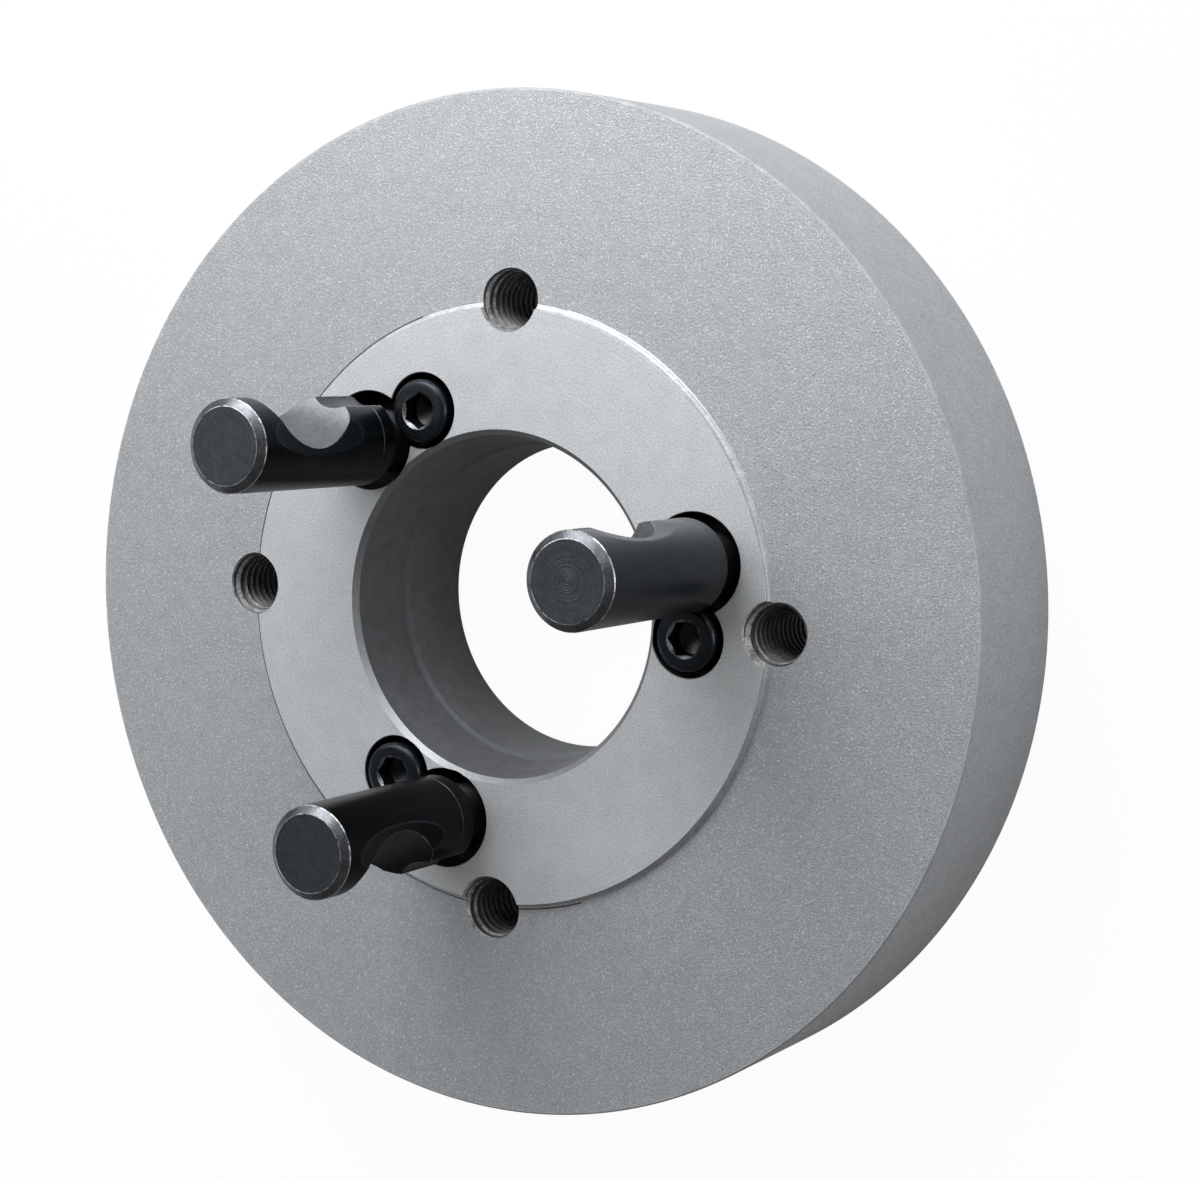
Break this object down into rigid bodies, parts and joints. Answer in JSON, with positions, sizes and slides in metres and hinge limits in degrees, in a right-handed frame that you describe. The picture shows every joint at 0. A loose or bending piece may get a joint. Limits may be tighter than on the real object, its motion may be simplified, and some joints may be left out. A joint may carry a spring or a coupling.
{
  "type": "lathe chuck backplate",
  "caption": "Round chuck backplate for a camlock spindle nose: raised ring with a short taper bore, cam studs, lock screws and tapped through holes.",
  "frame": {"origin": "centre of the flat back face, the face that the chuck sits on", "axes": "+Z along the plate's axis, out of the spindle side; +X through the first tapped hole"},
  "size_m": [0.16, 0.16, 0.0645],
  "materials": {
    "plate": "turned and ground iron, finely speckled matte outside the ring",
    "stud": "satin black oxide, bright at the worn edges",
    "screw": "glossy black oxide"
  },
  "bodies": {
    "root": {"backplate": "plate", "cam_stud_1": "stud", "cam_stud_2": "stud", "cam_stud_3": "stud", "cap_screw_1": "screw", "cap_screw_2": "screw", "cap_screw_3": "screw"}
  },
  "joints": []
}
